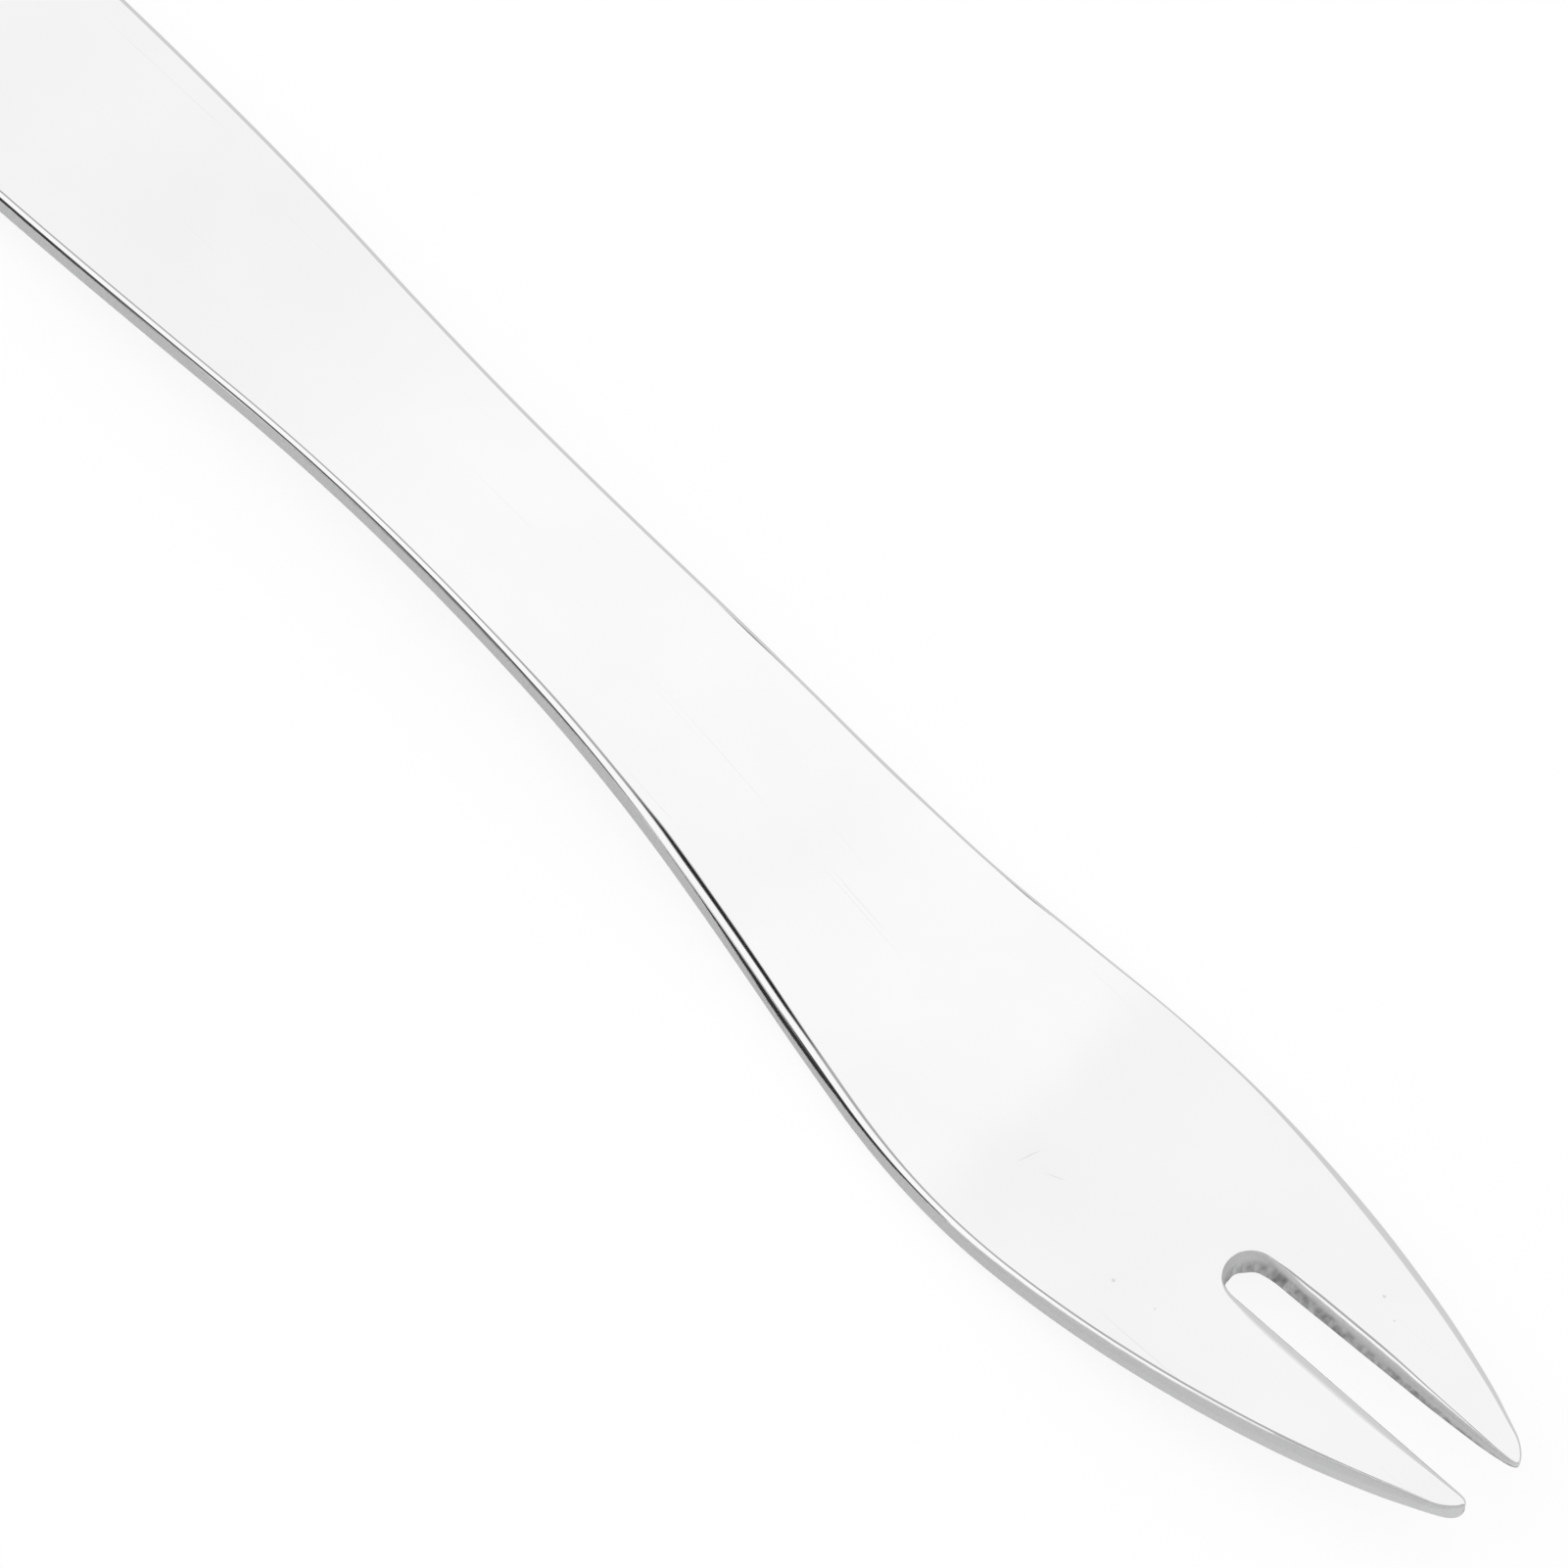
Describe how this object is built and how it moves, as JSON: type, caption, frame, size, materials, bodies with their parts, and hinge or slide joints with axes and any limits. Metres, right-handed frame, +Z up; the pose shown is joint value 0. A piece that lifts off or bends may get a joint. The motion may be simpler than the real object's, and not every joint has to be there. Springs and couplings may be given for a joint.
{
  "type": "fruit fork",
  "caption": "Slim fruit fork cut from polished steel sheet, with a bowed handle that widens to a round end, a leaf-shaped head and a round-ended slot between blunt tines.",
  "frame": {"origin": "middle of the fork's bounding box, on the table that it lies on", "axes": "+X along the length towards the tips, +Y across the width, +Z up out of the upper face"},
  "size_m": [0.1354, 0.018, 0.0072],
  "materials": {
    "polished_steel": "mirror-polished stainless steel faces, satin sheared edges"
  },
  "bodies": {
    "root": {"fork": "polished_steel"}
  },
  "joints": []
}
